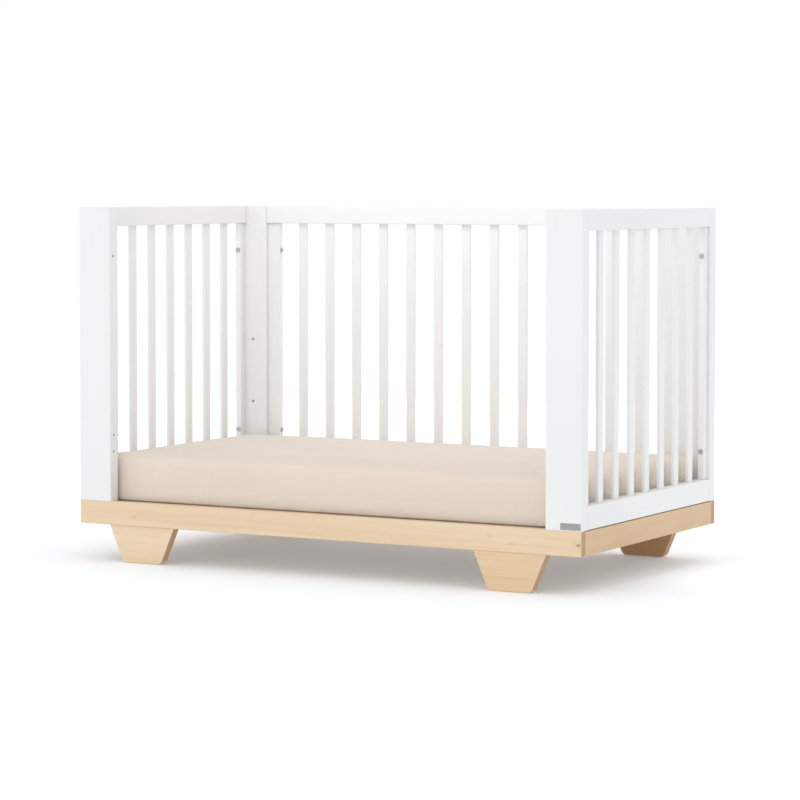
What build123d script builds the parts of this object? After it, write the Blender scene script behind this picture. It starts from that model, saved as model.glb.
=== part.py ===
from build123d import *
import os

# Full-size baby crib in its day-bed setting, with the front side taken off.
# Millimetres. +X runs along the length to the right, +Y from the open front to the
# back, +Z up. The origin is the middle of the crib's footprint, on the floor.

# ---- Overall size ----
LENGTH = 1396.0
WIDTH = 770.0
HEIGHT = 885.0
END = LENGTH / 2
SIDE = WIDTH / 2

# ---- Base: four rails on four plate feet ----
BASE_BOTTOM = 92.0
BASE_TOP = 151.0
BASE_THICK = 22.0
BASE_REVEAL = 2.0            # the end rails stop this far under the end panels
FOOT_WIDTH = 190.0           # across the top of a foot
FOOT_INSET = 90.0            # from the end of the base to the foot
FOOT_TAPER = 39.0            # how far each side of a foot leans in
FOOT_THICK = 27.0
FOOT_CORNER = 14.0
FOOT_STUD_SPACING = 110.0
GLIDE_RADIUS = 10.0
GLIDE_PROUD = 1.0
GLIDE_THICK = 3.0
GLIDE_SPACING = 70.0
CLEAT_WIDE = 30.0
CLEAT_THICK = 17.0
CLEAT_GAP = 3.0              # from a cleat's end to the post beside it

# ---- Posts and panels ----
POST_WIDE = 92.0
POST_THICK = 33.0
POST_INNER_X = END - POST_WIDE
POST_INNER_Y = SIDE - POST_THICK
TONGUE_BOTTOM = 100.0        # the posts reach down to here behind the base rails
TONGUE_GAP = 1.0             # from a tongue to the end rail beside it
RAIL_THICK = 31.0
TOP_RAIL_HIGH = 48.0
BOTTOM_RAIL_HIGH = 55.0
SLAT_THICK = 9.0
SLAT_EDGE = 2.0
SLAT_DEPTH = 15.4            # from a panel's outer plane to the middle of its slats
TENON = 12.0                 # how far a slat runs into each rail
MORTISE_PLAY = 0.1
STILE_THICK = 16.5
BACK_STILE_WIDE = 38.0
SIDE_STILE_WIDE = 20.0
BACK_SLATS = 13
BACK_SLAT_WIDE = 25.0
SIDE_SLATS = 7
SIDE_SLAT_WIDE = 26.0

# ---- Mattress and the platform that carries it ----
MATTRESS = (1322.0, 690.0, 127.0)
MATTRESS_CORNER = 24.0
MATTRESS_TOP_EDGE = 14.0
MATTRESS_BOTTOM_EDGE = 14.0
PLATFORM = (1320.0, 698.0)
PLATFORM_RAIL_WIDE = 50.0
PLATFORM_RAIL_THICK = 20.0
PLATFORM_SLATS = 12
PLATFORM_SLAT_WIDE = 60.0
PLATFORM_SLAT_THICK = 12.0
BRACKET_X = 648.0            # the brackets' holes and the inserts that they meet
BRACKET_WIDE = 30.0
BRACKET_THICK = 2.5
BRACKET_HIGH = 85.0
BRACKET_CORNER = 6.0
BRACKET_HOLE_Z = 183.0
HEIGHT_STEP = 169.5          # between two settings of the mattress platform

# ---- Fasteners ----
M6_HOLE = 3.1                # radii
M6_SHANK = 3.0
HEAD_RADIUS = 6.5
HEAD_HIGH = 3.0
HEAD_ROUND = 0.8
HEAD_PLAY = 0.5              # radius, round a head in its recess
SOCKET_RADIUS = 2.3
SOCKET_DEEP = 1.8
INSERT_RADIUS = 5.0
INSERT_BORE = 3.1
INSERT_LONG = 13.0
ROUND_PLAY = 0.1
DOWEL_RADIUS = 4.0
DOWEL_LONG = 40.0
DOWEL_IN_RAIL = 12.0         # how far a corner dowel goes into the long rail
PANEL_BOLT_Z = (276.0, 764.0)
FRONT_INSERT_Z = (275.0, 316.0, 764.0)
BASE_BOLT_X = (624.0, 660.0)
BASE_BOLT_Z = 126.0
BASE_BOLT_LONG = 20.0
BACK_BOLT_LONG = 70.0
SIDE_BOLT_LONG = 45.0
BASE_BOLT_RECESS = 4.0
CORNER_DOWEL_Z = (108.0, 135.0)
LABEL = (52.0, 0.5, 16.0)
LABEL_MARGIN = 1.8

# ---- Worked-out places ----
TOP_RAIL_Z = (HEIGHT - TOP_RAIL_HIGH, HEIGHT)
BOTTOM_RAIL_Z = (BASE_TOP, BASE_TOP + BOTTOM_RAIL_HIGH)
SLAT_Z = (BOTTOM_RAIL_Z[1] - TENON, TOP_RAIL_Z[0] + TENON)
STILE_Z = (BOTTOM_RAIL_Z[1], TOP_RAIL_Z[0])
SLAT_X = END - SLAT_DEPTH
SLAT_Y = SIDE - SLAT_DEPTH
PLATFORM_Z = BASE_BOTTOM + CLEAT_THICK
PLATFORM_SLAT_Z = PLATFORM_Z + PLATFORM_RAIL_THICK
MATTRESS_Z = PLATFORM_SLAT_Z + PLATFORM_SLAT_THICK
HEIGHT_INSERT_Z = (BRACKET_HOLE_Z + HEIGHT_STEP, BRACKET_HOLE_Z + 2 * HEIGHT_STEP)
EASE = 2.0                   # radius on the edges of the timber
SIGNS = (-1, 1)


def span(low, high, sign):
    """The limits of a stretch, mirrored when sign is -1."""
    return (low, high) if sign > 0 else (-high, -low)


def bar(x, y, z, ease=EASE):
    """A straight piece of timber or metal between two limits on each axis."""
    centre = [(a + b) / 2 for a, b in (x, y, z)]
    solid = Pos(*centre) * Box(x[1] - x[0], y[1] - y[0], z[1] - z[0])
    return fillet(solid.edges(), ease) if ease else solid


def rod(start, way, radius, length):
    """A round rod that starts at a point and runs the given way."""
    return Plane(origin=start, z_dir=way) * Cylinder(
        radius, length, align=(Align.CENTER, Align.CENTER, Align.MIN))


def bolt(seat, way, length):
    """A low-head hex-socket bolt: its head stands on seat and its shank runs the given way."""
    back = tuple(-c for c in way)
    crown = tuple(s + HEAD_HIGH * b for s, b in zip(seat, back))
    head = rod(seat, back, HEAD_RADIUS, HEAD_HIGH)
    head = fillet(head.edges(), HEAD_ROUND)
    socket = Plane(origin=crown, z_dir=way) * extrude(RegularPolygon(SOCKET_RADIUS, 6), SOCKET_DEEP)
    return head + rod(seat, way, M6_SHANK, length) - socket


def insert(mouth, way):
    """A threaded insert whose mouth is flush with the timber."""
    return (rod(mouth, way, INSERT_RADIUS, INSERT_LONG)
            - rod(mouth, way, INSERT_BORE, INSERT_LONG))


def insert_hole(mouth, way):
    return rod(mouth, way, INSERT_RADIUS + ROUND_PLAY, INSERT_LONG + ROUND_PLAY)


def slat(x, y, wide_along_x, wide, play=0.0):
    """An upright slat with rounded edges; play makes the mortise that it fits."""
    wide, thick = wide + 2 * play, SLAT_THICK + 2 * play
    section = RectangleRounded(*((wide, thick) if wide_along_x else (thick, wide)), SLAT_EDGE)
    return Pos(x, y, SLAT_Z[0] - play) * extrude(section, SLAT_Z[1] - SLAT_Z[0] + 2 * play)


def even_places(count, wide, low, high):
    """Middles of count slats with equal gaps between two stiles."""
    gap = (high - low - count * wide) / (count + 1)
    return [low + gap + wide / 2 + i * (gap + wide) for i in range(count)]


def save(name, shape):
    export_step(shape, f"parts/{name}.step")


def group(solids):
    return Compound(children=list(solids))


# ---- Fastener places: (seat or mouth, direction into the timber) ----
panel_bolt_places = []       # (head seat, way, length)
for side in SIGNS:
    for z in PANEL_BOLT_Z:
        panel_bolt_places.append(
            ((side * (POST_INNER_X - BACK_STILE_WIDE), SLAT_Y, z), (side, 0, 0), BACK_BOLT_LONG))
        for end in SIGNS:
            panel_bolt_places.append(
                ((side * SLAT_X, end * (POST_INNER_Y - SIDE_STILE_WIDE), z), (0, end, 0), SIDE_BOLT_LONG))

front_insert_places = [((side * POST_INNER_X, -SLAT_Y, z), (side, 0, 0))
                       for side in SIGNS for z in FRONT_INSERT_Z]
height_insert_places = [((side * BRACKET_X, end * POST_INNER_Y, z), (0, end, 0))
                        for side in SIGNS for end in SIGNS for z in HEIGHT_INSERT_Z]
base_insert_places = [((side * x, end * (SIDE - BASE_THICK), BASE_BOLT_Z), (0, end, 0))
                      for side in SIGNS for end in SIGNS for x in BASE_BOLT_X]
base_bolt_places = [((side * x, end * (POST_INNER_Y + BASE_BOLT_RECESS), BASE_BOLT_Z), (0, end, 0))
                    for side in SIGNS for end in SIGNS for x in BASE_BOLT_X]
corner_dowel_places = [((side * (END - BASE_THICK / 2), end * (SIDE - BASE_THICK + DOWEL_IN_RAIL), z),
                        (0, -end, 0))
                       for side in SIGNS for end in SIGNS for z in CORNER_DOWEL_Z]


def foot_middle(side):
    return side * (END - FOOT_INSET - FOOT_WIDTH / 2)


foot_stud_places = [((foot_middle(side) + half * FOOT_STUD_SPACING / 2,
                      end * (SIDE - BASE_THICK / 2), BASE_BOTTOM - DOWEL_LONG / 2), (0, 0, 1))
                    for side in SIGNS for end in SIGNS for half in SIGNS]
glide_places = [(foot_middle(side) + half * GLIDE_SPACING / 2, end * (SIDE - FOOT_THICK / 2))
                for side in SIGNS for end in SIGNS for half in SIGNS]


def dowel_hole(place):
    return rod(*place, DOWEL_RADIUS + ROUND_PLAY, DOWEL_LONG)


# ---- Base ----
def long_base_rail(end):
    """Front or back rail of the base: it runs the full length and covers the end rails."""
    rail = bar((-END, END), span(SIDE - BASE_THICK, SIDE, end), (BASE_BOTTOM, BASE_TOP))
    rail -= [insert_hole(*p) for p in base_insert_places if p[0][1] * end > 0]
    rail -= [dowel_hole(p) for p in corner_dowel_places + foot_stud_places if p[0][1] * end > 0]
    return rail


def end_base_rail(side):
    """Rail across one end of the base, butted between the two long rails."""
    reach = SIDE - BASE_THICK
    rail = bar(span(END - BASE_THICK, END, side), (-reach, reach),
               (BASE_BOTTOM, BASE_TOP - BASE_REVEAL))
    return rail - [dowel_hole(p) for p in corner_dowel_places if p[0][0] * side > 0]


def base_cleats():
    """Ledges inside the base that the mattress platform rests on at its lowest setting."""
    z = (BASE_BOTTOM, BASE_BOTTOM + CLEAT_THICK)
    inner_x, inner_y = END - BASE_THICK, SIDE - BASE_THICK
    cleats = []
    for sign in SIGNS:
        cleats.append(bar((CLEAT_GAP - POST_INNER_X, POST_INNER_X - CLEAT_GAP),
                          span(inner_y - CLEAT_WIDE, inner_y, sign), z))
        cleats.append(bar(span(inner_x - CLEAT_WIDE, inner_x, sign),
                          (CLEAT_GAP - POST_INNER_Y, POST_INNER_Y - CLEAT_GAP), z))
    return group(cleats)


def foot(side, end):
    """A tapered plate foot, flush with the long base rail, with rounded lower corners."""
    half, low = FOOT_WIDTH / 2, GLIDE_PROUD
    outline = Polyline((-half, BASE_BOTTOM), (half, BASE_BOTTOM),
                       (half - FOOT_TAPER, low), (FOOT_TAPER - half, low), close=True)
    face = make_face(outline)
    face = fillet(face.vertices().sort_by(Axis.Y)[:2], FOOT_CORNER)
    plate = extrude(Plane.XZ * face, FOOT_THICK / 2, both=True)
    plate = fillet(plate.edges().filter_by(GeomType.LINE).filter_by(Axis.Y, reverse=True), EASE)
    plate = Pos(foot_middle(side), end * (SIDE - FOOT_THICK / 2), 0) * plate
    plate -= [rod((x, y, 0), (0, 0, 1), GLIDE_RADIUS + ROUND_PLAY, GLIDE_THICK)
              for x, y in glide_places if x * side > 0 and y * end > 0]
    return plate - [dowel_hole(p) for p in foot_stud_places
                    if p[0][0] * side > 0 and p[0][1] * end > 0]


# ---- Posts ----
def post(side, end):
    """A corner post: a wide board with a tongue that drops behind the long base rail."""
    x = span(POST_INNER_X, END, side)
    board = bar(x, span(POST_INNER_Y, SIDE, end), (BASE_TOP, HEIGHT), ease=0)
    board = fillet(board.edges().filter_by(lambda e: e.center().Z > BASE_TOP + EASE), EASE)
    tongue_end = END - BASE_THICK - TONGUE_GAP
    board += bar(span(POST_INNER_X, tongue_end, side),
                 span(POST_INNER_Y, SIDE - BASE_THICK, end), (TONGUE_BOTTOM, BASE_TOP), ease=0)
    holes = [insert_hole(*p) for p in front_insert_places + height_insert_places
             if p[0][0] * side > 0 and p[0][1] * end > 0]
    holes += [rod(seat, way, M6_HOLE, length) for seat, way, length in panel_bolt_places
              if seat[0] * side > 0 and seat[1] * end > 0]
    for seat, way in base_bolt_places:
        if seat[0] * side > 0 and seat[1] * end > 0:
            holes.append(rod(seat, way, M6_HOLE, BASE_BOLT_LONG))
            holes.append(rod(seat, (0, -end, 0), HEAD_RADIUS + HEAD_PLAY, BASE_BOLT_RECESS))
    if side > 0 and end < 0:
        holes.append(label_plate())
    return board - holes


def label_plate():
    """A blank plate let into the bottom corner of the front right post."""
    return bar((END - LABEL_MARGIN - LABEL[0], END - LABEL_MARGIN), (-SIDE, -SIDE + LABEL[1]),
               (BASE_TOP + LABEL_MARGIN, BASE_TOP + LABEL_MARGIN + LABEL[2]), ease=0)


# ---- Panels ----
back_slat_x = even_places(BACK_SLATS, BACK_SLAT_WIDE, BACK_STILE_WIDE - POST_INNER_X,
                          POST_INNER_X - BACK_STILE_WIDE)
side_slat_y = even_places(SIDE_SLATS, SIDE_SLAT_WIDE, SIDE_STILE_WIDE - POST_INNER_Y,
                          POST_INNER_Y - SIDE_STILE_WIDE)


def back_slat(x, play=0.0):
    return slat(x, SLAT_Y, True, BACK_SLAT_WIDE, play)


def side_slat(side, y, play=0.0):
    return slat(side * SLAT_X, y, False, SIDE_SLAT_WIDE, play)


def back_rail(z):
    rail = bar((-POST_INNER_X, POST_INNER_X), (SIDE - RAIL_THICK, SIDE), z)
    return rail - [back_slat(x, MORTISE_PLAY) for x in back_slat_x]


def side_rail(side, z):
    rail = bar(span(END - RAIL_THICK, END, side), (-POST_INNER_Y, POST_INNER_Y), z)
    return rail - [side_slat(side, y, MORTISE_PLAY) for y in side_slat_y]


def clear_of_bolts(stile):
    return stile - [rod(seat, way, M6_HOLE, length) for seat, way, length in panel_bolt_places]


def back_end_stiles():
    """Two uprights that close the back panel against the posts."""
    y = (SLAT_Y - STILE_THICK / 2, SLAT_Y + STILE_THICK / 2)
    return group(clear_of_bolts(bar(span(POST_INNER_X - BACK_STILE_WIDE, POST_INNER_X, side), y, STILE_Z))
                 for side in SIGNS)


def side_end_stiles(side):
    """Two uprights that close an end panel against its posts."""
    x = span(SLAT_X - STILE_THICK / 2, SLAT_X + STILE_THICK / 2, side)
    return group(clear_of_bolts(bar(x, span(POST_INNER_Y - SIDE_STILE_WIDE, POST_INNER_Y, end), STILE_Z))
                 for end in SIGNS)


# ---- Mattress platform ----
def platform_frame():
    """Four flat rails butted together."""
    x, y = PLATFORM[0] / 2, PLATFORM[1] / 2
    z = (PLATFORM_Z, PLATFORM_SLAT_Z)
    rails = []
    for sign in SIGNS:
        rails.append(bar((-x, x), span(y - PLATFORM_RAIL_WIDE, y, sign), z))
        reach = y - PLATFORM_RAIL_WIDE
        rails.append(bar(span(x - PLATFORM_RAIL_WIDE, x, sign), (-reach, reach), z))
    return group(rails)


def platform_slats():
    """Flat slats across the platform, on top of its long rails."""
    x, y = PLATFORM[0] / 2, PLATFORM[1] / 2
    pitch = (2 * x - PLATFORM_SLAT_WIDE) / (PLATFORM_SLATS - 1)
    starts = [i * pitch - x for i in range(PLATFORM_SLATS)]
    return group(bar((start, start + PLATFORM_SLAT_WIDE), (-y, y), (PLATFORM_SLAT_Z, MATTRESS_Z))
                 for start in starts)


def platform_brackets():
    """Four upright plates at the platform's corners, each with a hole for the height bolt."""
    plates = []
    for side in SIGNS:
        for end in SIGNS:
            face = end * PLATFORM[1] / 2
            x = (side * BRACKET_X - BRACKET_WIDE / 2, side * BRACKET_X + BRACKET_WIDE / 2)
            y = span(PLATFORM[1] / 2, PLATFORM[1] / 2 + BRACKET_THICK, end)
            plate = bar(x, y, (PLATFORM_Z, PLATFORM_Z + BRACKET_HIGH), ease=0)
            plate = fillet(plate.edges().filter_by(Axis.Y), BRACKET_CORNER)
            hole = rod((side * BRACKET_X, face, BRACKET_HOLE_Z), (0, end, 0),
                       M6_HOLE + HEAD_PLAY, BRACKET_THICK)
            plates.append(plate - hole)
    return group(plates)


def mattress():
    """A firm foam mattress with rounded corners and edges."""
    block = extrude(RectangleRounded(MATTRESS[0], MATTRESS[1], MATTRESS_CORNER), MATTRESS[2])
    block = fillet(block.edges().group_by(Axis.Z)[-1], MATTRESS_TOP_EDGE)
    block = fillet(block.edges().group_by(Axis.Z)[0], MATTRESS_BOTTOM_EDGE)
    return Pos(0, 0, MATTRESS_Z) * block


# ---- Write every node ----
END_NAMES = {-1: "front", 1: "back"}
SIDE_NAMES = {-1: "left", 1: "right"}

for end in SIGNS:
    save(f"base_{END_NAMES[end]}_rail", long_base_rail(end))
    for side in SIGNS:
        save(f"foot_{END_NAMES[end]}_{SIDE_NAMES[side]}", foot(side, end))
        save(f"post_{END_NAMES[end]}_{SIDE_NAMES[side]}", post(side, end))
save("base_cleats", base_cleats())

save("back_top_rail", back_rail(TOP_RAIL_Z))
save("back_bottom_rail", back_rail(BOTTOM_RAIL_Z))
save("back_end_stiles", back_end_stiles())
for number, x in enumerate(back_slat_x, 1):
    save(f"back_slat_{number:02d}", back_slat(x))

for side in SIGNS:
    name = SIDE_NAMES[side]
    save(f"base_{name}_rail", end_base_rail(side))
    save(f"{name}_top_rail", side_rail(side, TOP_RAIL_Z))
    save(f"{name}_bottom_rail", side_rail(side, BOTTOM_RAIL_Z))
    save(f"{name}_end_stiles", side_end_stiles(side))
    for number, y in enumerate(side_slat_y, 1):
        save(f"{name}_slat_{number}", side_slat(side, y))

save("platform_frame", platform_frame())
save("platform_slats", platform_slats())
save("platform_brackets", platform_brackets())
save("mattress", mattress())

save("label_plate", label_plate())
save("panel_bolts", group(bolt(*place) for place in panel_bolt_places))
save("base_bolts", group(bolt(*place, BASE_BOLT_LONG) for place in base_bolt_places))
save("threaded_inserts", group(insert(*place) for place in
                               front_insert_places + height_insert_places + base_insert_places))
save("corner_dowels", group(rod(*place, DOWEL_RADIUS, DOWEL_LONG) for place in corner_dowel_places))
save("foot_studs", group(rod(*place, DOWEL_RADIUS, DOWEL_LONG) for place in foot_stud_places))
save("foot_glides", group(rod((x, y, 0), (0, 0, 1), GLIDE_RADIUS, GLIDE_THICK)
                          for x, y in glide_places))
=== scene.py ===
"""Looks of the baby crib: painted and lacquered timber, steel fittings and a covered foam mattress."""

import math

import bmesh
import bpy
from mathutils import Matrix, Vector, noise
from mathutils.bvhtree import BVHTree


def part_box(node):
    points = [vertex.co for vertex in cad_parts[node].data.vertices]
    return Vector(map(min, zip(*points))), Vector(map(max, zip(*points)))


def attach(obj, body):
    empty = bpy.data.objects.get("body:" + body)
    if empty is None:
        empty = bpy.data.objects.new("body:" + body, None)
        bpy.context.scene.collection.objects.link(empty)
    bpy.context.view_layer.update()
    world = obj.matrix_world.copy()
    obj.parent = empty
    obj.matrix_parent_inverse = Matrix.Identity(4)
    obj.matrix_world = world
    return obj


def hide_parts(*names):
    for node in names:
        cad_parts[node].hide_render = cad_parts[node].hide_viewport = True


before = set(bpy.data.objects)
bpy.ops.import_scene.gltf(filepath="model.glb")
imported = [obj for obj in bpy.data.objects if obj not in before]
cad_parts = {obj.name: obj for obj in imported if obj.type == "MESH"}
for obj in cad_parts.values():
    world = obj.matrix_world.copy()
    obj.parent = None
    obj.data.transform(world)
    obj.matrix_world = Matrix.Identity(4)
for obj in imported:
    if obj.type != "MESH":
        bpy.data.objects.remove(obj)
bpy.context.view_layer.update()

X, Y, Z = 0, 1, 2

# ---- Colours (linear) ----
PAINT = (0.815, 0.815, 0.814)
PAINT_SHADE = (0.795, 0.796, 0.794)
WOOD_LIGHT = (0.825, 0.662, 0.477)
WOOD_DARK = (0.748, 0.566, 0.379)
WOOD_LINE = (0.666, 0.461, 0.281)
# Partly painted shade: the side rails and cleats are a darker, warmer wood, partly their own tone and partly
# the shade on the crib's sides.
END_RAIL_TONE_AND_SHADE = (0.85, 0.77, 0.69)
FRONT_FOOT_TONE = (0.97, 0.93, 0.86)
# Painted shade: the back feet are darker and browner, as the deep shade under the bed.
BACK_FOOT_PAINTED_SHADE = (0.66, 0.51, 0.40)
END_LIGHT = (0.545, 0.335, 0.185)
END_DARK = (0.415, 0.240, 0.120)
KNOT = (0.240, 0.115, 0.045)
PINE_LIGHT = (0.740, 0.560, 0.350)
PINE_DARK = (0.600, 0.410, 0.220)
COVER_LIGHT = (0.850, 0.752, 0.652)
COVER_DARK = (0.765, 0.662, 0.562)
# Painted light: a paler beige that lightens the lower sides of the cover, as light thrown up from the base
# rail.
COVER_PAINTED_LIGHT = (0.930, 0.850, 0.760)
# Painted shade: the cord's dark brown stands for the shade in the gap between the mattress and the base
# rail.
CORD_PAINTED_SHADE = (0.360, 0.250, 0.170)
ZINC = (0.52, 0.52, 0.53)
INSERT_ZINC = (0.80, 0.80, 0.80)
BRACKET_PAINT = (0.42, 0.42, 0.42)
GLIDE = (0.70, 0.70, 0.68)
LABEL = (0.36, 0.36, 0.37)

# ---- Camera: the place, turn and lens of the view that is matched ----
CAMERA_PLACE = (3.567, -6.350, 0.949)
CAMERA_TURN = 29.27          # degrees about +Z, from looking along +Y
CAMERA_TILT = -2.72          # degrees above the horizon
CAMERA_LENS = 130.9          # millimetres on a 36 mm sensor
CAMERA_SHIFT = -0.1

# ---- Studio ----
FLOOR_GLOW = (0.130, 0.153, 0.176)
ROOM_LIGHT = 1.0
FLOOR_HALF = 60.0
# Each soft box: name, place, what it points at, width, height, watts.
SOFT_BOXES = (
    ("front_low", (0.5, -6.0, 1.0), (0.0, 0.0, 0.4), 4.0, 1.6, 23.0),
    ("front_left", (-3.0, -4.5, 2.2), (0.0, 0.0, 0.4), 2.5, 2.5, 6.0),
    ("back_low", (-0.8, 5.0, 0.9), (0.0, 0.0, 0.2), 4.0, 1.6, 32.0),
    ("boom", (0.0, -0.3, 1.75), (0.0, 1.0, 1.75), 1.2, 0.5, 6.5),
)

# ---- Mattress ----
CROWN_HIGH = 0.0045
HELD_HIGH = 0.004            # the cover is held up to this height over its underside
SIM_VOXEL = 0.010
SIM_INSET = 0.003
SIM_FRAMES = 20
SIM_PRESSURE = 4.0
SIM_CAP = 0.003
RIPPLE = 0.0008
RIPPLE_SCALE = (6.0, 6.0, 14.0)
RIPPLE_START = 0.02          # the cover ripples above this height over its underside
COVER_CORNER = 0.024
COVER_TOP_EDGE = 0.013
COVER_BOTTOM_EDGE = 0.016
WELT_RADIUS = 0.0013
CORD_RADIUS = 0.0014
RIM_SEAM_HEIGHT = 0.0092
STITCH_LONG = 0.0034
STITCH_PITCH = 0.0050
STITCH_RADIUS = 0.00035
STITCH_OFFSET = 0.0040
SEAM_MARGIN = 0.012          # from a corner seam's ends to the top and the underside
CORNER_STEPS = 40
RIM_CORNER_STEPS = 14
RIM_SPACING = 0.010
RAY_START = 0.2              # how far outside the cover a ray starts


# ------------------------------------------------------------------ materials
class Graph:
    """One material and short ways to add the nodes it is made of."""

    def __init__(self, name):
        self.material = bpy.data.materials.new(name)
        self.material.use_nodes = True
        self.tree = self.material.node_tree
        self.surface = self.tree.nodes["Principled BSDF"]
        self.coords = self.tree.nodes.new("ShaderNodeTexCoord")

    def plug(self, socket, value):
        if isinstance(value, bpy.types.NodeSocket):
            self.tree.links.new(value, socket)
        else:
            socket.default_value = value

    def node(self, kind, inputs, **settings):
        made = self.tree.nodes.new("ShaderNode" + kind)
        for key, value in settings.items():
            setattr(made, key, value)
        for key, value in inputs.items():
            self.plug(made.inputs[key], value)
        return made

    def place(self, scale, offset=(0, 0, 0)):
        """Object coordinates, in metres, scaled on each axis."""
        made = self.node("Mapping", {"Vector": self.coords.outputs["Object"], "Location": offset,
                                     "Scale": scale})
        return made.outputs[0]

    def noise(self, where, scale=1.0, detail=3.0, roughness=0.5, distortion=0.0):
        return self.node("TexNoise", {"Vector": where, "Scale": scale, "Detail": detail,
                                      "Roughness": roughness, "Distortion": distortion}).outputs[0]

    def math(self, operation, a, b=0.0):
        return self.node("Math", {0: a, 1: b}, operation=operation).outputs[0]

    def remap(self, value, low, high, to_low=0.0, to_high=1.0):
        return self.node("MapRange", {"Value": value, "From Min": low, "From Max": high,
                                      "To Min": to_low, "To Max": to_high}).outputs[0]

    def mix(self, factor, a, b, blend="MIX"):
        a, b = [v if isinstance(v, bpy.types.NodeSocket) else (*v, 1.0) for v in (a, b)]
        return self.node("Mix", {0: factor, 6: a, 7: b}, data_type="RGBA", blend_type=blend).outputs[2]

    def bump(self, height, distance, strength=1.0, under=None):
        made = self.node("Bump", {"Height": height, "Distance": distance, "Strength": strength})
        if under is not None:
            self.plug(made.inputs["Normal"], under)
        return made.outputs[0]

    def facing(self, axis):
        """How squarely a face looks along an axis, from 0 to 1."""
        parts = self.node("SeparateXYZ", {0: self.coords.outputs["Normal"]})
        return self.math("ABSOLUTE", parts.outputs[axis])

    def finish(self, colour, roughness, normal=None, **constants):
        self.plug(self.surface.inputs["Base Color"], colour)
        self.plug(self.surface.inputs["Roughness"], roughness)
        if normal is not None:
            self.plug(self.surface.inputs["Normal"], normal)
        for key, value in constants.items():
            self.surface.inputs[key.replace("_", " ")].default_value = value
        return self.material


def scale_along(grain, along, across):
    """A scale that stretches a pattern along the grain."""
    return tuple(along if axis == grain else across for axis in (X, Y, Z))


def seed_offset(seed):
    return (1.7 * seed, 3.1 * seed + 0.4, 5.3 * seed + 0.9)


def painted_timber(name, grain, seed):
    """White satin paint: faint grain shows through, with a fine sprayed texture."""
    g = Graph(name)
    offset = seed_offset(seed)
    cloud = g.noise(g.place((3.0, 3.0, 3.0), offset), detail=2.0)
    grain_lines = g.noise(g.place(scale_along(grain, 3.0, 160.0), offset), detail=4.0, roughness=0.6)
    spray = g.noise(g.place((1100.0, 1100.0, 1100.0)), detail=1.0)
    tone = g.math("ADD", g.remap(cloud, 0.35, 0.65, 0.0, 0.6), g.remap(grain_lines, 0.4, 0.7, 0.0, 0.4))
    colour = g.mix(tone, PAINT, PAINT_SHADE)
    roughness = g.remap(cloud, 0.3, 0.7, 0.34, 0.46)
    relief = g.bump(grain_lines, 0.00012, 0.6)
    relief = g.bump(spray, 0.00003, 0.5, relief)
    return g.finish(colour, roughness, relief, Specular_IOR_Level=0.45, IOR=1.48)


def timber(name, grain, seed, light, dark, line, tone=(1, 1, 1), knots=(), lacquer=0.42):
    """Clear-finished timber: growth lines, fibres and flecks along the grain, rings on the end grain."""
    g = Graph(name)
    offset = seed_offset(seed)
    drift = g.noise(g.place(scale_along(grain, 0.9, 9.0), offset), detail=2.0, distortion=0.4)
    growth = g.noise(g.place(scale_along(grain, 1.6, 55.0), offset), detail=3.0, roughness=0.55,
                     distortion=1.2)
    fibres = g.noise(g.place(scale_along(grain, 22.0, 900.0), offset), detail=3.0, roughness=0.7)
    flecks = g.noise(g.place(scale_along(grain, 170.0, 1500.0), offset), detail=1.0)
    wander = g.place(scale_along(grain, 0.35, 5.0), offset)
    arches = g.node("TexWave", {"Vector": wander, "Scale": 3.2, "Distortion": 5.0, "Detail": 2.0,
                                "Detail Scale": 0.7}, wave_type="RINGS",
                    rings_direction="XYZ"[(grain + 1) % 3]).outputs[1]

    light, dark, line = [tuple(c * t for c, t in zip(colour, tone)) for colour in (light, dark, line)]
    side = g.mix(g.remap(drift, 0.3, 0.7), light, dark)
    side = g.mix(g.remap(growth, 0.52, 0.72, 0.0, 0.42), side, line)
    side = g.mix(g.remap(arches, 0.0, 0.35, 0.16, 0.0), side, line)
    side = g.mix(g.remap(fibres, 0.45, 0.75, 0.0, 0.30), side, line)
    side = g.mix(g.remap(flecks, 0.66, 0.76, 0.0, 0.40), side, [c * 0.8 for c in line])
    for point, radius, strength in knots:
        side = knot(g, side, grain, point, radius, strength)

    rings = g.node("TexWave", {"Vector": g.place((1, 1, 1), tuple(0.08 for _ in range(3))), "Scale": 95.0,
                               "Distortion": 3.0, "Detail": 2.0, "Detail Scale": 1.0},
                   wave_type="RINGS", rings_direction="XYZ"[grain]).outputs[1]
    pores = g.noise(g.place((1400.0, 1400.0, 1400.0), offset), detail=1.0)
    end = g.mix(rings, END_LIGHT, END_DARK)
    end = g.mix(g.remap(pores, 0.58, 0.72, 0.0, 0.6), end, END_DARK)
    colour = g.mix(g.remap(g.facing(grain), 0.80, 0.95), side, end)

    roughness = g.remap(fibres, 0.3, 0.7, lacquer, lacquer + 0.12)
    relief = g.bump(growth, 0.00010, 0.5)
    relief = g.bump(fibres, 0.00006, 0.7, relief)
    relief = g.bump(g.math("MULTIPLY", flecks, -1.0), 0.00005, 0.5, relief)
    return g.finish(colour, roughness, relief, Specular_IOR_Level=0.4)


def knot(g, colour, grain, point, radius, strength):
    """A small knot: a dark eye with a paler stained ring, drawn out along the grain."""
    apart = g.node("VectorMath", {0: g.coords.outputs["Object"], 1: point}, operation="SUBTRACT").outputs[0]
    stretch = scale_along(grain, 0.55, 1.0)
    drawn = g.node("VectorMath", {0: apart, 1: stretch}, operation="MULTIPLY").outputs[0]
    ragged = g.noise(g.place((600.0, 600.0, 600.0)), detail=2.0)
    far = g.node("VectorMath", {0: drawn}, operation="LENGTH").outputs[1]
    far = g.math("ADD", far, g.remap(ragged, 0.3, 0.7, -0.25 * radius, 0.25 * radius))
    halo = g.mix(g.remap(far, radius, radius * 4.0, 0.75 * strength, 0.0), colour, WOOD_LINE)
    return g.mix(g.remap(far, radius * 0.6, radius * 1.1, 0.9 * strength, 0.0), halo, KNOT)


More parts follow.
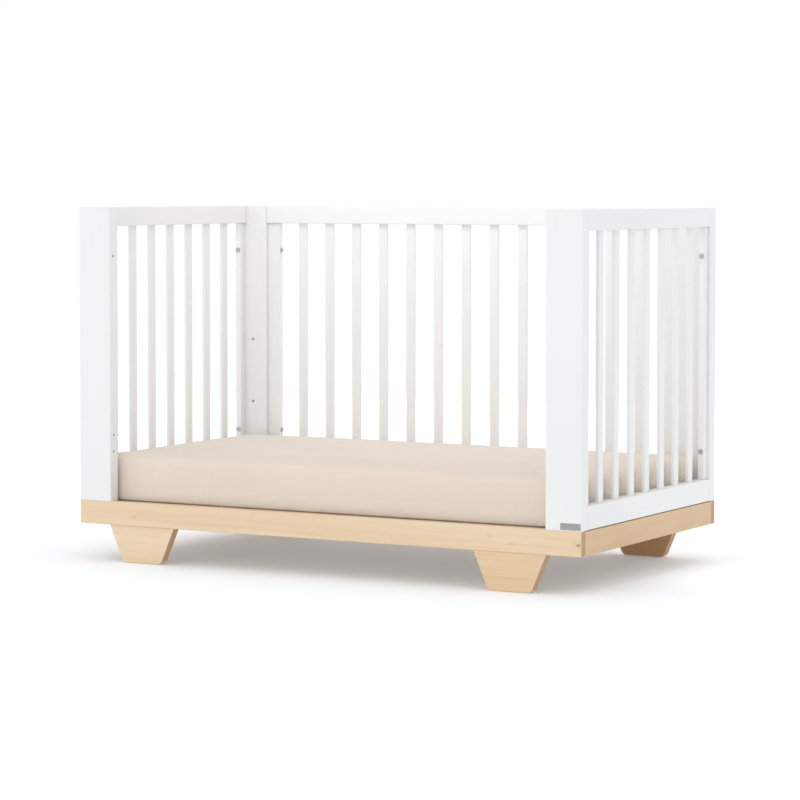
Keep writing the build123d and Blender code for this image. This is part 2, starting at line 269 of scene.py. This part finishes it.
def woven_cover(name):
    """Plain cotton weave: two sets of threads, slightly uneven in colour and thickness, with painted light
    that makes the lower sides paler.
    """
    g = Graph(name)
    cloud = g.noise(g.place((5.0, 5.0, 5.0)), detail=3.0)
    threads = []
    for axis in (X, Y, Z):
        wave = g.node("TexWave", {"Vector": g.place((1, 1, 1)), "Scale": 330.0, "Distortion": 0.6,
                                  "Detail": 1.0, "Detail Scale": 2.0},
                      wave_type="BANDS", bands_direction="XYZ"[axis]).outputs[1]
        threads.append(wave)
    slubs = [g.noise(g.place(scale_along(axis, 25.0, 1100.0)), detail=2.0) for axis in (X, Y, Z)]
    weave = g.math("ADD", g.math("ADD", threads[X], threads[Y]), threads[Z])
    slub = g.math("MULTIPLY", g.math("ADD", g.math("ADD", slubs[X], slubs[Y]), slubs[Z]), 1 / 3)
    colour = g.mix(g.remap(cloud, 0.3, 0.7, 0.0, 0.35), COVER_LIGHT, COVER_DARK)
    colour = g.mix(g.remap(slub, 0.42, 0.60, 0.0, 0.55), colour, COVER_DARK)
    colour = g.mix(g.remap(weave, 0.3, 2.4, 0.35, 0.0), colour, COVER_DARK)
    # Painted light: the cover turns paler towards its lower edge, as light thrown up from the base rail.
    height = g.node("SeparateXYZ", {0: g.coords.outputs["Object"]}).outputs[Z]
    colour = g.mix(g.remap(height, 0.150, 0.195, 0.75, 0.0), colour, COVER_PAINTED_LIGHT)
    relief = g.bump(weave, 0.00025, 0.55)
    relief = g.bump(slub, 0.00030, 0.6, relief)
    roughness = g.remap(slub, 0.3, 0.7, 0.82, 0.95)
    return g.finish(colour, roughness, relief, Specular_IOR_Level=0.2, Sheen_Weight=0.35,
                    Sheen_Roughness=0.45)


def twisted_cord(name):
    """Twisted cotton cord, sewn round the mattress's lower edge; its darker colour is painted shade, for the
    gap between mattress and base rail.
    """
    g = Graph(name)
    twist = g.node("TexWave", {"Vector": g.place((1, 1, 1)), "Scale": 240.0, "Distortion": 1.0,
                               "Detail": 1.0}, wave_type="BANDS", bands_direction="DIAGONAL").outputs[1]
    fuzz = g.noise(g.place((1300.0, 1300.0, 1300.0)), detail=2.0)
    colour = g.mix(twist, CORD_PAINTED_SHADE, [c * 0.7 for c in CORD_PAINTED_SHADE])
    roughness = g.remap(fuzz, 0.3, 0.7, 0.82, 0.95)
    return g.finish(colour, roughness, g.bump(twist, 0.00025, 0.6), Specular_IOR_Level=0.2)


def metal(name, colour, roughness, metallic=1.0, scratch_scale=(900.0, 900.0, 900.0)):
    """Plated or painted steel with fine scratches and a mottled tone."""
    g = Graph(name)
    mottle = g.noise(g.place((260.0, 260.0, 260.0)), detail=3.0)
    scratches = g.noise(g.place(scratch_scale), detail=2.0, roughness=0.7)
    tone = g.mix(g.remap(mottle, 0.35, 0.65, 0.0, 0.5), colour, [c * 0.78 for c in colour])
    rough = g.remap(scratches, 0.3, 0.7, roughness - 0.06, roughness + 0.1)
    return g.finish(tone, rough, g.bump(scratches, 0.00003, 0.5), Metallic=metallic)


def moulded_plastic(name, colour):
    """Matt moulded plastic with a fine grained skin."""
    g = Graph(name)
    grain = g.noise(g.place((1500.0, 1500.0, 1500.0)), detail=2.0)
    cloud = g.noise(g.place((90.0, 90.0, 90.0)), detail=2.0)
    tone = g.mix(g.remap(cloud, 0.35, 0.65, 0.0, 0.5), colour, [c * 0.9 for c in colour])
    return g.finish(tone, g.remap(grain, 0.3, 0.7, 0.45, 0.6), g.bump(grain, 0.00004, 0.5))


def studio_floor(name):
    """Pale matt floor with a faint glow, as the light that a white studio throws under things."""
    g = Graph(name)
    cloud = g.noise(g.place((0.4, 0.4, 0.4)), detail=3.0)
    colour = g.mix(g.remap(cloud, 0.3, 0.7), (0.875, 0.875, 0.875), (0.865, 0.865, 0.865))
    return g.finish(colour, 0.9, Specular_IOR_Level=0.0, Emission_Color=(*FLOOR_GLOW, 1.0),
                    Emission_Strength=1.0)


def dress(node, material):
    """Gives a CAD node one material."""
    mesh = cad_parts[node].data
    mesh.materials.clear()
    mesh.materials.append(material)


def grain_of(node):
    """The axis along a node's longest side, which is where its grain runs."""
    low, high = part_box(node)
    size = high - low
    return max((X, Y, Z), key=lambda axis: size[axis])


def front_rail_knots():
    """A pin knot near the right end of the front rail and three fainter ones along it."""
    low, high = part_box("base_front_rail")
    tall = high.z - low.z
    spots = [(high.x - 0.0075, 0.46, 0.0025, 1.0), (low.x + 0.165, 0.42, 0.0024, 0.30),
             (high.x - 0.235, 0.60, 0.0018, 0.35), (high.x - 0.180, 0.35, 0.0016, 0.35)]
    return [((x, low.y, low.z + share * tall), radius, strength) for x, share, radius, strength in spots]


def dress_cad_nodes():
    paints = {axis: painted_timber(f"white_paint_{'xyz'[axis]}", axis, axis + 1) for axis in (X, Y, Z)}
    zinc = metal("zinc_bolt", ZINC, 0.36)
    special = {
        "panel_bolts": zinc,
        "base_bolts": zinc,
        "foot_studs": zinc,
        "threaded_inserts": metal("zinc_insert", INSERT_ZINC, 0.50, metallic=0.2),
        "platform_brackets": metal("bracket_powder_coat", BRACKET_PAINT, 0.5, metallic=0.0),
        "label_plate": metal("label_aluminium", LABEL, 0.4, scratch_scale=(60.0, 1500.0, 1500.0)),
        "foot_glides": moulded_plastic("glide_plastic", GLIDE),
        "platform_frame": timber("pine_frame", X, 31, PINE_LIGHT, PINE_DARK, WOOD_LINE, lacquer=0.6),
        "platform_slats": timber("pine_slats", Y, 32, PINE_LIGHT, PINE_DARK, WOOD_LINE, lacquer=0.6),
        "corner_dowels": timber("dowel_wood", Y, 33, WOOD_LIGHT, WOOD_DARK, WOOD_LINE, lacquer=0.6),
    }
    # The back feet's tone is painted shade: darker and browner, as under the bed.
    # The side rails' and cleats' tone is partly their wood and partly painted shade on the crib's sides.
    tones = {"base_left_rail": END_RAIL_TONE_AND_SHADE, "base_right_rail": END_RAIL_TONE_AND_SHADE, "base_cleats": END_RAIL_TONE_AND_SHADE,
             "foot_back_left": BACK_FOOT_PAINTED_SHADE, "foot_back_right": BACK_FOOT_PAINTED_SHADE,
             "foot_front_right": FRONT_FOOT_TONE}
    for seed, node in enumerate(sorted(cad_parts)):
        if node in special:
            dress(node, special[node])
        elif node.startswith(("base_", "foot_")):
            grain = X if node.startswith("foot_") else grain_of(node)
            knots = front_rail_knots() if node == "base_front_rail" else ()
            dress(node, timber(f"wood_{node}", grain, seed, WOOD_LIGHT, WOOD_DARK, WOOD_LINE,
                               tones.get(node, (1, 1, 1)), knots))
        elif node != "mattress":
            dress(node, paints[grain_of(node)])


# ------------------------------------------------------------------ mattress
def new_object(name, mesh):
    made = bpy.data.objects.new(name, mesh)
    bpy.context.scene.collection.objects.link(made)
    return made


def baked_mesh(obj):
    """The object's mesh with its modifiers applied."""
    graph = bpy.context.evaluated_depsgraph_get()
    return bpy.data.meshes.new_from_object(obj.evaluated_get(graph))


def rounded_block(low, high):
    """A block with rounded upright corners and rounded top and bottom edges."""
    bm = bmesh.new()
    bmesh.ops.create_cube(bm, size=1.0)
    middle, size = (low + high) / 2, high - low
    for v in bm.verts:
        v.co = Vector(middle[i] + v.co[i] * size[i] for i in range(3))

    def bevel(edges, offset, segments):
        bmesh.ops.bevel(bm, geom=edges, offset=offset, segments=segments, profile=0.5,
                        affect="EDGES", clamp_overlap=False)

    bevel([e for e in bm.edges if abs(e.verts[0].co.z - e.verts[1].co.z) > size.z / 2], COVER_CORNER, 10)
    for level, radius in ((high.z, COVER_TOP_EDGE), (low.z, COVER_BOTTOM_EDGE)):
        rim = [e for e in bm.edges if all(abs(v.co.z - level) < 1e-6 for v in e.verts)]
        bevel(rim, radius, 6)
    mesh = bpy.data.meshes.new("mattress_block")
    bm.to_mesh(mesh)
    bm.free()
    return mesh


def inflate(obj, low):
    """Blows the cover up against its foam with cloth simulation; the underside stays where it lies."""
    held = obj.vertex_groups.new(name="held")
    held.add([v.index for v in obj.data.vertices if v.co.z < low.z + HELD_HIGH], 1.0, "REPLACE")
    cloth = obj.modifiers.new("cloth", "CLOTH")
    cloth.settings.vertex_group_mass = "held"
    cloth.settings.use_pressure = True
    cloth.settings.uniform_pressure_force = SIM_PRESSURE
    cloth.settings.effector_weights.gravity = 0.0
    cloth.settings.quality = 4
    cloth.collision_settings.use_self_collision = False
    cloth.point_cache.frame_start = 1
    cloth.point_cache.frame_end = SIM_FRAMES
    for number in range(1, SIM_FRAMES + 1):
        bpy.context.scene.frame_set(number)
    swollen = baked_mesh(obj)
    obj.modifiers.remove(cloth)
    bpy.context.scene.frame_set(1)
    return [v.co.copy() for v in swollen.vertices]


def soft_limit(move, cap):
    """Shortens a move smoothly so that it never passes the cap."""
    far = move.length
    return move * (cap * math.tanh(far / cap) / far) if far > 1e-9 else move


def crown(point, low, high):
    """How far the filling lifts the top at a place: most in the middle, none at the edge."""
    share = [(point[i] - low[i]) / (high[i] - low[i]) * 2 - 1 for i in range(3)]
    dome = max(0.0, 1 - abs(share[X]) ** 4) * max(0.0, 1 - abs(share[Y]) ** 3)
    return CROWN_HIGH * dome * max(0.0, share[Z])


def make_mattress():
    low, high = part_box("mattress")
    block_low = low + Vector((SIM_INSET, SIM_INSET, 0.0))
    block_high = high - Vector((SIM_INSET, SIM_INSET, SIM_INSET))
    start = new_object("mattress_start", rounded_block(block_low, block_high))
    remesh = start.modifiers.new("remesh", "REMESH")
    remesh.mode = "VOXEL"
    remesh.voxel_size = SIM_VOXEL
    cover = new_object("mattress_cover", baked_mesh(start))
    bpy.data.objects.remove(start)

    rest = [v.co.copy() for v in cover.data.vertices]
    outward = [v.normal.copy() for v in cover.data.vertices]
    swollen = inflate(cover, low)
    cover.vertex_groups.clear()
    for vertex, before, after, normal in zip(cover.data.vertices, rest, swollen, outward):
        move = soft_limit(after - before, SIM_CAP)
        puff = crown(before, low, high)
        ripple = noise.noise(before * Vector(RIPPLE_SCALE))
        lift = RIPPLE * ripple if before.z > low.z + RIPPLE_START else 0.0
        place = before + move + Vector((0.0, 0.0, puff)) + normal * lift
        place.z = max(place.z, low.z)
        vertex.co = place

    smooth = cover.modifiers.new("smooth", "SMOOTH")
    smooth.factor = 0.5
    smooth.iterations = 2
    divide = cover.modifiers.new("divide", "SUBSURF")
    divide.levels = divide.render_levels = 1
    finished = baked_mesh(cover)
    cover.modifiers.clear()
    cover.data = finished
    for face in finished.polygons:
        face.use_smooth = True
    return cover


def surface_path(tree, rays):
    """Where rays, given as start and direction, meet the cover: points with the normals there."""
    hits = [tree.ray_cast(start, way) for start, way in rays]
    return [(place, normal) for place, normal, _, _ in hits if place is not None]


def corner_rays(low, high, side, end):
    """Rays down one upright corner, coming in at 45 degrees."""
    hub = Vector(((high.x - COVER_CORNER) * side, (high.y - COVER_CORNER) * end, 0.0))
    out = Vector((side, end, 0.0)).normalized()
    top, bottom = high.z - SEAM_MARGIN, low.z + SEAM_MARGIN
    for i in range(CORNER_STEPS + 1):
        z = top + (bottom - top) * i / CORNER_STEPS
        yield Vector((hub.x, hub.y, z)) + out * RAY_START, -out


def rim_rays(high, z):
    """Rays in to the cover all round, at one height."""
    hub_x, hub_y = high.x - COVER_CORNER, high.y - COVER_CORNER
    corners = [(1, -1, -90), (1, 1, 0), (-1, 1, 90), (-1, -1, 180)]
    places = []
    for number, (side, end, first) in enumerate(corners):
        for i in range(RIM_CORNER_STEPS + 1):
            turn = math.radians(first + 90 * i / RIM_CORNER_STEPS)
            out = Vector((math.cos(turn), math.sin(turn), 0.0))
            places.append((Vector((hub_x * side, hub_y * end, z)), out))
        next_side, next_end, _ = corners[(number + 1) % 4]
        here, there = places[-1][0], Vector((hub_x * next_side, hub_y * next_end, z))
        count = int((there - here).length / RIM_SPACING)
        places += [(here.lerp(there, i / count), places[-1][1]) for i in range(1, count)]
    for hub, out in places + places[:1]:
        yield hub + out * RAY_START, -out


def add_tube(bm, path, radius, lift=0.0, sides=8):
    """A round tube along points with normals, its middle lifted off the surface."""
    rings = []
    for number, (place, normal) in enumerate(path):
        ahead = path[min(number + 1, len(path) - 1)][0] - path[max(number - 1, 0)][0]
        ahead.normalize()
        across = ahead.cross(normal).normalized()
        up = across.cross(ahead)
        centre = place + normal * lift
        rings.append([bm.verts.new(centre + radius * (across * math.cos(a) + up * math.sin(a)))
                      for a in (2 * math.pi * i / sides for i in range(sides))])
    for a, b in zip(rings, rings[1:]):
        for i in range(sides):
            bm.faces.new((a[i], a[(i + 1) % sides], b[(i + 1) % sides], b[i]))
    bm.faces.new(rings[0][::-1])
    bm.faces.new(rings[-1])


def add_stitches(bm, path, offset):
    """A row of short stitches beside a seam, each a little arched."""
    travelled, next_start = 0.0, 0.0
    for (a, normal_a), (b, normal_b) in zip(path, path[1:]):
        length = (b - a).length
        if length < 1e-7:
            continue
        ahead = (b - a) / length
        across = ahead.cross(normal_a).normalized() * offset
        while next_start < travelled + length:
            share = (next_start - travelled) / length
            middle, normal = a.lerp(b, share) + across, normal_a.lerp(normal_b, share).normalized()
            half = ahead * (STITCH_LONG / 2)
            arch = [(middle - half, -0.4), (middle - half * 0.6, 0.5), (middle, 0.8),
                    (middle + half * 0.6, 0.5), (middle + half, -0.4)]
            row = [(place + normal * (rise * STITCH_RADIUS), normal) for place, rise in arch]
            add_tube(bm, row, STITCH_RADIUS, sides=5)
            next_start += STITCH_PITCH
        travelled += length


def finish_mesh(name, bm):
    bmesh.ops.recalc_face_normals(bm, faces=bm.faces)
    mesh = bpy.data.meshes.new(name)
    bm.to_mesh(mesh)
    bm.free()
    for face in mesh.polygons:
        face.use_smooth = True
    return new_object(name, mesh)


def make_seams(cover):
    """Sewn seams of the fitted cover: one down each corner and one round the lower edge."""
    low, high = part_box("mattress")
    tree = BVHTree.FromObject(cover, bpy.context.evaluated_depsgraph_get())
    corners = [surface_path(tree, corner_rays(low, high, side, end)) for side in (-1, 1) for end in (-1, 1)]
    rim = surface_path(tree, rim_rays(high, low.z + RIM_SEAM_HEIGHT))
    welts, cord, stitches = bmesh.new(), bmesh.new(), bmesh.new()
    for path in corners:
        add_tube(welts, path, WELT_RADIUS, lift=-0.3 * WELT_RADIUS)
    add_tube(cord, rim, CORD_RADIUS, lift=-0.2 * CORD_RADIUS)
    for path in corners + [rim]:
        for side in (-1, 1):
            add_stitches(stitches, path, side * STITCH_OFFSET)
    return [finish_mesh("mattress_welts", welts), finish_mesh("mattress_stitches", stitches),
            finish_mesh("mattress_edge_cord", cord)]


def add_mattress():
    cover = make_mattress()
    welts, stitches, cord = make_seams(cover)
    fabric = woven_cover("cover_weave")
    # The cord's dark colour is painted shade, for the gap between the mattress and the base rail.
    materials = {cover: fabric, welts: fabric, stitches: fabric, cord: twisted_cord("edge_cord_painted_shade")}
    for piece, material in materials.items():
        piece.data.materials.clear()
        piece.data.materials.append(material)
        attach(piece, "mattress")
    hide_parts("mattress")


# ------------------------------------------------------------------ studio
def soft_box(name, place, target, wide, tall, watts):
    """A large soft lamp; the camera does not see it."""
    light = bpy.data.lights.new(name, "AREA")
    light.energy = watts
    light.shape = "RECTANGLE"
    light.size = wide
    light.size_y = tall
    lamp = new_object(name, light)
    lamp.location = place
    lamp.rotation_mode = "QUATERNION"
    lamp.rotation_quaternion = (Vector(target) - Vector(place)).to_track_quat("-Z", "Y")
    lamp.visible_camera = False


def floor_spot(name, place, wide, watts):
    """A spot lamp that looks straight down and lights a round patch of floor."""
    light = bpy.data.lights.new(name, "SPOT")
    light.energy = watts
    light.spot_size = 2 * math.atan(wide / 2 / place[Z])
    light.spot_blend = 0.7
    light.shadow_soft_size = 0.15
    new_object(name, light).location = place


def make_world():
    world = bpy.data.worlds.new("studio")
    world.use_nodes = True
    background = world.node_tree.nodes["Background"]
    background.inputs["Color"].default_value = (1.0, 1.0, 1.0, 1.0)
    background.inputs["Strength"].default_value = ROOM_LIGHT
    bpy.context.scene.world = world
    bpy.context.scene.view_settings.view_transform = "Standard"


def make_studio():
    bm = bmesh.new()
    bmesh.ops.create_grid(bm, x_segments=8, y_segments=8, size=FLOOR_HALF)
    floor = finish_mesh("studio_floor", bm)
    floor.data.materials.append(studio_floor("floor_paint"))
    make_world()

    for box in SOFT_BOXES:
        soft_box(*box)
    floor_spot("right_floor", (0.93, 0.14, 3.0), 0.52, 85.0)


def make_camera():
    camera = bpy.data.objects.new("camera", bpy.data.cameras.new("camera"))
    camera.location = CAMERA_PLACE
    camera.rotation_euler = (math.radians(90 + CAMERA_TILT), 0.0, math.radians(CAMERA_TURN))
    camera.data.lens = CAMERA_LENS
    camera.data.sensor_width = 36.0
    camera.data.shift_y = CAMERA_SHIFT
    bpy.context.scene.collection.objects.link(camera)
    bpy.context.scene.camera = camera


dress_cad_nodes()
add_mattress()
make_studio()
make_camera()
